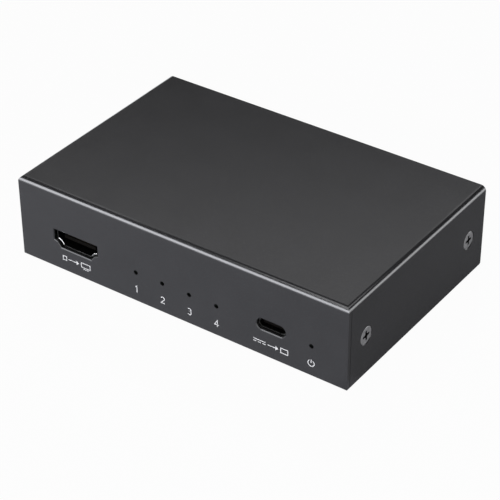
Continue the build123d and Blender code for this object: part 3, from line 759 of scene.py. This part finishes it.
def screw_profile(radius, length):
    """Half a countersunk screw, from the middle of its domed head to its tip."""
    crown = [(radius * share, SCREW_DOME * (1 - share ** 2)) for share in SCREW_CROWN_SHARES]
    rim = [(radius * share, -drop) for share, drop in SCREW_RIM]
    reach = -rim[-1][1] + radius - SHANK_RADIUS
    thread = [(SHANK_RADIUS, -reach)]
    while reach + THREAD_PITCH < length - THREAD_PITCH:
        thread.append((SHANK_RADIUS - THREAD_DEPTH, -reach - THREAD_PITCH / 2))
        thread.append((SHANK_RADIUS, -reach - THREAD_PITCH))
        reach += THREAD_PITCH
    return crown + rim + thread + [(SHANK_RADIUS * SCREW_TIP_SHARE, -length), (0, -length)]


def make_screw(corner, middle, radius, length, materials):
    """The mesh of one screw, with its recess cut out."""
    out = Vector((corner[0], 0, 0))
    work = bmesh.new()
    lathe(work, screw_profile(radius, length), middle, out)
    bmesh.ops.recalc_face_normals(work, faces=work.faces)
    body = object_from(mesh_from(work, "screw", materials), "screw")
    cutter = cross_cutter(middle, out, SCREW_TURNS[corner], materials)
    cut = body.modifiers.new("recess", "BOOLEAN")
    cut.operation = "DIFFERENCE"
    cut.solver = "EXACT"
    cut.object = cutter
    mesh = mesh_of(body)
    bpy.data.objects.remove(cutter)
    return mesh


def make_screws():
    """Four domed countersunk screws with cross recesses in painted shade, in place of the plain ones."""
    materials = [
        plated_metal("screw_nickel", *SCREW_NICKEL, rough=(0.4, 0.56)),
        # The recess walls: near black as painted shade, not the plated metal's own colour
        moulded_plastic("screw_recess_painted_shade", RECESS_PAINTED_SHADE, rough=(0.6, 0.8), shine=0.1),
    ]
    whole = bmesh.new()
    for corner, middle, radius, length in screw_places():
        whole.from_mesh(make_screw(corner, middle, radius, length, materials))
    mesh = mesh_from(whole, "cover_screws_finished", materials)
    shade_by_angle(mesh, SCREW_EDGE_ANGLE)
    piece = piece_from(mesh, "cover_screws_finished")
    bevel_edges(piece, SCREW_EDGE, SCREW_EDGE_ANGLE)
    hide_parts("cover_screws")


# Flared lips at the mouth of each video socket, along both shoulders and cheeks

def lip_wedge(work, points, middle, top, front, out):
    """A thin wedge along these (across, up) points. It stands out from the shell and faces the cavity."""
    rings = []
    for here, before, after in directions(points):
        along = (before + after).normalized()
        away = Vector((along.y, -along.x))
        if away.dot(here) < 0:
            away = -away
        edge = here + away * LIP_WIDTH
        rings.append([
            work.verts.new((middle + place.x, front + out * rise, top + place.y))
            for place, rise in ((here, 0), (edge, 0), (edge, LIP_RISE))
        ])
    for low, high in zip(rings, rings[1:]):
        skin(work, low, high)
    work.faces.new(rings[0])
    work.faces.new(rings[-1][::-1])


def make_lips():
    """The lips of all the video sockets, as one piece, in nickel lightened as a painted highlight."""
    work = bmesh.new()
    for node in video_shells():
        low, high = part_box(node)
        middle = (low.x + high.x) / 2
        top = high.z - LIP_WIDTH
        front, out = (high.y, 1) if low.y > 0 else (low.y, -1)
        for side in (-1, 1):
            points = [(side * across, -drop) for across, drop in LIP_POINTS]
            lip_wedge(work, points, middle, top, front, out)
    bmesh.ops.recalc_face_normals(work, faces=work.faces)
    # The lips reflect the lamps, and their nickel is lightened as a painted highlight
    mesh = mesh_from(work, "video_lips", [plated_metal("lip_nickel_painted_highlight", *NICKEL_PAINTED_HIGHLIGHT, rough=(0.2, 0.32))])
    piece_from(mesh, "video_lips")


# Print. Each mark is drawn on a wall of its own, with x to the reader's right and y up

def on_wall(curve, place, rear):
    """The mesh of a flat mark, moved to the front or rear wall."""
    mesh = mesh_of(object_from(curve, "mark"))
    x, z = place
    out = (INK_THICK - INK_SUNK) / 2
    wall = REAR + out if rear else FRONT - out
    turn = Matrix.Rotation(math.pi, 4, "Z") if rear else Matrix.Identity(4)
    stand = Matrix.Rotation(math.pi / 2, 4, "X")
    mesh.transform(Matrix.Translation((x, wall, z)) @ turn @ stand)
    return mesh


def flat_mark(outlines, place, rear=False):
    """A slab of ink with these closed outlines, where one inside another is a hole."""
    curve = bpy.data.curves.new("mark", "CURVE")
    curve.dimensions = "2D"
    curve.fill_mode = "BOTH"
    curve.extrude = (INK_THICK + INK_SUNK) / 2
    for outline in outlines:
        spline = curve.splines.new("POLY")
        spline.points.add(len(outline) - 1)
        for point, (x, y) in zip(spline.points, outline):
            point.co = (x, y, 0, 1)
        spline.use_cyclic_u = True
    return on_wall(curve, place, rear)


def thick_line(points, stroke):
    """The outline of a line of this width through these points, with mitred corners."""
    sides = ([], [])
    for here, before, after in directions(points):
        normal = Vector((-before.y - after.y, before.x + after.x)).normalized()
        reach = stroke / 2 / max(normal.dot(Vector((-before.y, before.x))), MITRE_LIMIT)
        for side, sign in zip(sides, (1, -1)):
            side.append(tuple(here + sign * reach * normal))
    return sides[0] + sides[1][::-1]


def arc_points(middle, radius, start, end, steps=NUMBER_ARC_STEPS):
    """Points along part of a circle, from one angle to another, in degrees."""
    angles = [math.radians(start + (end - start) * step / steps) for step in range(steps + 1)]
    return [(middle[0] + radius * math.cos(angle), middle[1] + radius * math.sin(angle)) for angle in angles]


def arc_outline(middle, radius, stroke, start, end):
    """A ring or part of one, this wide, from one angle to another, in degrees."""
    outside = arc_points(middle, radius, start, end, RING_STEPS)
    inside = arc_points(middle, radius - stroke, start, end, RING_STEPS)
    return outside + inside[::-1]


def box_outline(left, low, right, high):
    return [(left, low), (right, low), (right, high), (left, high)]


def frame_outlines(left, low, right, high, stroke):
    """A rectangle drawn with a line of this width."""
    return [
        box_outline(left, low, right, high),
        box_outline(left + stroke, low + stroke, right - stroke, high - stroke),
    ]


def arrow_outline(left, right, middle, stroke):
    """An arrow that points to the reader's right."""
    half = stroke / 2
    neck = right - ARROW_HEAD
    wing = ARROW_HEAD * ARROW_HEAD_SHARE
    return [
        (left, middle - half), (neck, middle - half), (neck, middle - wing),
        (right, middle), (neck, middle + wing), (neck, middle + half), (left, middle + half),
    ]


def number_lines(number):
    """The lines of a plain number that is about one unit high and stands on zero."""
    if number == 1:
        return [[(-0.18, 0.78), (0.06, 0.94), (0.06, 0)]]
    if number == 2:
        return [arc_points((0, 0.7), 0.245, 165, -35) + [(-0.27, 0.055), (0.31, 0.055)]]
    if number == 3:
        waist = [(-0.08, 0.485)]
        upper = arc_points((0, 0.71), 0.23, 150, -80)
        lower = arc_points((0, 0.29), 0.25, 80, -150)
        return [upper + waist, waist + lower]
    return [[(0.12, 0), (0.12, 0.93), (-0.28, 0.25), (0.33, 0.25)]]


def number_marks(number, place, rear=False):
    """A plain printed number, one slab of ink for each of its lines."""
    lines = [[(x * NUMBER_HIGH, y * NUMBER_HIGH) for x, y in line] for line in number_lines(number)]
    return [flat_mark([thick_line(line, NUMBER_STROKE)], place, rear) for line in lines]


def video_sign():
    """A plug, an arrow and a screen: 10 by 2.2 mm."""
    left, right = VIDEO_SOCKET_ENDS
    low, high = VIDEO_SOCKET_HEIGHTS
    plug = frame_outlines(left, low, right, high, STROKE)
    arrow = arrow_outline(*VIDEO_ARROW_ENDS, VIDEO_ARROW_MIDDLE, STROKE)
    left, right = SCREEN_ENDS
    screen = frame_outlines(left, SCREEN_LOW, right, LABEL_HIGH, STROKE)
    left, right = SCREEN_FOOT_ENDS
    foot = box_outline(left, 0, right, SCREEN_FOOT_HIGH)
    return screen + [foot, arrow] + plug


def supply_sign():
    """The sign for direct current, an arrow and a box: 11.2 by 1.8 mm."""
    left, right = SUPPLY_ENDS
    bar = box_outline(left, SUPPLY_BAR_LOW, right, SUPPLY_BAR_LOW + STROKE)
    starts = [left + SUPPLY_DASH_STEP * step for step in range(SUPPLY_DASH_COUNT)]
    dashes = [
        box_outline(start, SUPPLY_DASH_LOW, start + SUPPLY_DASH, SUPPLY_DASH_LOW + STROKE)
        for start in starts
    ]
    arrow = arrow_outline(*SUPPLY_ARROW_ENDS, SUPPLY_ARROW_MIDDLE, STROKE)
    left, right = SUPPLY_SOCKET_ENDS
    low, high = SUPPLY_SOCKET_HEIGHTS
    return [bar, arrow] + dashes + frame_outlines(left, low, right, high, STROKE)


def power_sign():
    """The common sign for power: an open ring with a line in its gap."""
    radius = LABEL_HIGH / 2
    ring = arc_outline((0, radius), radius, STROKE, *POWER_RING_ANGLES)
    low, high = POWER_LINE_HEIGHTS
    return [ring, box_outline(-STROKE / 2, low, STROKE / 2, high)]


def middle_of(node):
    low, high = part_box(node)
    return (low + high) / 2


def join_marks(name, meshes, ink):
    """One printed piece from the meshes of its marks."""
    work = bmesh.new()
    for mesh in meshes:
        work.from_mesh(mesh)
    joined = mesh_from(work, name, [ink])
    shade_by_angle(joined, PRINT_EDGE_ANGLE)
    piece_from(joined, name)


def make_print():
    """Numbers over the lamps and the rear sockets, and three signs on the front."""
    ink = screen_print("white_print")
    front = []
    rear = []
    for number in OUTPUTS:
        front += number_marks(number, (middle_of(f"lamp_{number}").x, NUMBER_LOW))
        rear += number_marks(number, (middle_of(f"video_out_{number}_blade").x, NUMBER_LOW), rear=True)
    for sign, node in (
        (video_sign(), "video_in_blade"),
        (supply_sign(), "power_in_blade"),
        (power_sign(), "power_lamp"),
    ):
        front.append(flat_mark(sign, (middle_of(node).x, LABEL_LOW)))
    join_marks("front_print", front, ink)
    join_marks("rear_print", rear, ink)


# Stage

def floor_material():
    """White to the camera. Elsewhere a pale floor, which reflections see with a glow of its own, darkened on
    the right by painted shade.
    """
    shader = Shader("floor_white")
    shader.set(Base_Color=(*FLOOR_TINT, 1), Roughness=FLOOR_ROUGHNESS)
    camera, mirrored = shader.rays()
    turned = shader.node("ShaderNodeMapping")
    turned.inputs["Rotation"].default_value = (0, 0, math.radians(FLOOR_TURN))
    shader.link(shader.place, turned.inputs["Vector"])
    # Painted shade: the floor's glow fades to dark across a line through the box
    shade_to_right = shader.span(shader.along("X", turned.outputs["Vector"]), FLOOR_TURN_START, FLOOR_TURN_END)
    glow = shader.node("ShaderNodeEmission")
    shader.link(shader.mix(shade_to_right, FLOOR_GLOW, FLOOR_GLOW_PAINTED_SHADE), glow.inputs["Color"])
    shader.link(mirrored, glow.inputs["Strength"])
    lit = shader.node("ShaderNodeAddShader")
    shader.link(shader.surface.outputs["BSDF"], lit.inputs[0])
    shader.link(glow.outputs["Emission"], lit.inputs[1])
    mixed = shader.node("ShaderNodeMixShader")
    shader.link(shader.combine("MULTIPLY", camera, FLOOR_CAMERA_SHARE), mixed.inputs["Fac"])
    shader.link(lit.outputs["Shader"], mixed.inputs[1])
    shader.link(shader.node("ShaderNodeEmission").outputs["Emission"], mixed.inputs[2])
    shader.link(mixed.outputs["Shader"], shader.tree.nodes["Material Output"].inputs["Surface"])
    return shader.material


def make_floor():
    """A large flat floor under the feet, which belongs to the stage."""
    bpy.ops.mesh.primitive_plane_add(size=FLOOR_SIZE)
    floor = bpy.context.object
    floor.name = "floor"
    floor.data.materials.append(floor_material())


def make_world():
    """A studio that is white to the camera, bright near the horizon to reflections, and else dark."""
    world = bpy.data.worlds.new("studio")
    bpy.context.scene.world = world
    world.use_nodes = True
    nodes = Nodes(world.node_tree)
    camera, mirrored = nodes.rays()
    height = nodes.along("Z", nodes.node("ShaderNodeTexCoord").outputs["Generated"])
    start = math.sin(math.radians(HORIZON_START))
    end = math.sin(math.radians(HORIZON_END))
    glow = nodes.span(height, start, end, HORIZON_GLOW, WORLD_STRENGTH, curve="SMOOTHSTEP")
    strength = nodes.combine("MAXIMUM", WORLD_STRENGTH, camera)
    strength = nodes.combine("MAXIMUM", strength, nodes.combine("MULTIPLY", mirrored, glow))
    background = nodes.tree.nodes["Background"]
    background.inputs["Color"].default_value = WORLD_WHITE
    nodes.link(strength, background.inputs["Strength"])


def from_around(azimuth, elevation):
    """The direction out to a place around the box. Azimuth 0 is in front of it, 90 to its right."""
    across = math.radians(azimuth)
    rise = math.radians(elevation)
    return Vector((
        math.sin(across) * math.cos(rise),
        -math.cos(across) * math.cos(rise),
        math.sin(rise),
    ))


def make_lamp(name, lamp):
    """A rectangular lamp, which only the camera doesn't see."""
    data = bpy.data.lights.new(name, "AREA")
    data.shape = "RECTANGLE"
    data.size = 2 * LAMP_DISTANCE * math.tan(math.radians(lamp.wide / 2))
    data.size_y = 2 * LAMP_DISTANCE * math.tan(math.radians(lamp.high / 2))
    data.color = lamp.colour
    data.energy = lamp.radiance * math.pi * data.size * data.size_y
    made = object_from(data, name)
    made.location = CENTRE + LAMP_DISTANCE * from_around(lamp.azimuth, lamp.elevation)
    made.rotation_euler = (CENTRE - made.location).to_track_quat("-Z", "Y").to_euler()
    made.visible_camera = False


def make_camera():
    """The camera of the photo, from its angles and distance around the box."""
    back = from_around(CAMERA_AZIMUTH, CAMERA_ELEVATION)
    right = (-back).cross(Vector((0, 0, 1))).normalized()
    up = right.cross(-back)
    roll = math.radians(CAMERA_ROLL)
    across = right * math.cos(roll) + up * math.sin(roll)
    rise = up * math.cos(roll) - right * math.sin(roll)
    offset = across * CAMERA_ACROSS_SHARE + rise * CAMERA_UP_SHARE + back * CAMERA_DISTANCE_SHARE
    data = bpy.data.cameras.new("camera")
    data.sensor_width = SENSOR
    data.lens = FOCAL_PIXELS / IMAGE_SIDE_PIXELS * SENSOR
    data.clip_start = CLIP_NEAR
    data.clip_end = CLIP_FAR
    camera = object_from(data, "camera")
    camera.matrix_world = (
        Matrix.Translation(CENTRE + WIDTH * offset)
        @ Matrix((across, rise, back)).transposed().to_4x4()
    )
    bpy.context.scene.camera = camera


dress_housing()
dress_sockets()
dress_lamps()
dress_board()
round_nodes()
make_screws()
make_lips()
make_print()
make_floor()
make_world()
for lamp_name, lamp in LAMPS.items():
    make_lamp(lamp_name, lamp)
make_camera()

bpy.context.scene.view_settings.view_transform = "Standard"

bpy.context.view_layer.update()
